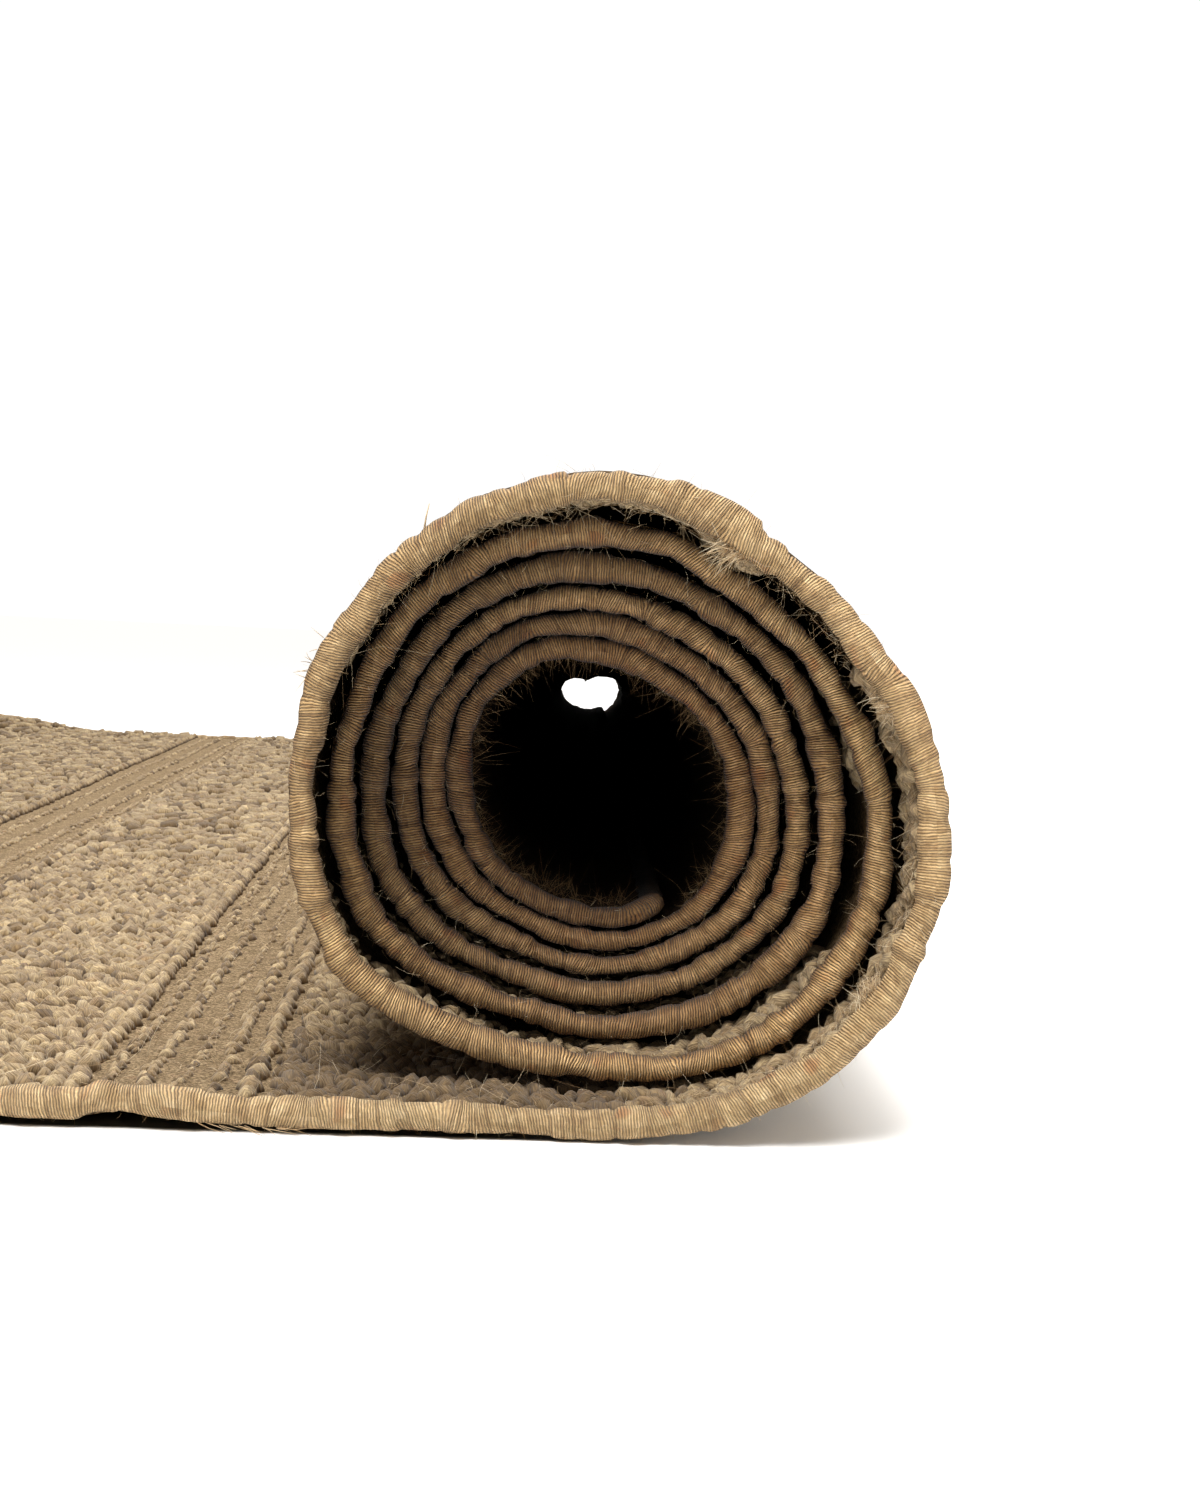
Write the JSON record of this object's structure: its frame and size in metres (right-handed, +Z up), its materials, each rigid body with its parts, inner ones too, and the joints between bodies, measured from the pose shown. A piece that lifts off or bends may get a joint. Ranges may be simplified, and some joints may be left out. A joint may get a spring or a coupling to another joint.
{
  "type": "rolled up carpet",
  "caption": "Handwoven jute carpet with a whipped edge, wound into a slightly conical roll with a loose end lying flat.",
  "frame": {"origin": "centre of the footprint, on the floor that the carpet lies on", "axes": "+Y along the carpet's width and so nearly along the roll, away from the end with the recessed turns; -X towards the loose end; +Z up"},
  "size_m": [0.6404, 1.584, 0.1643],
  "materials": {
    "woven_jute": "handwoven jute, bands of looped yarn between bands of plain ribbed weave",
    "binding_jute": "jute thread wrapped closely round the edge"
  },
  "bodies": {
    "root": {"woven_field": "woven_jute", "whipped_binding": "binding_jute"}
  },
  "joints": []
}
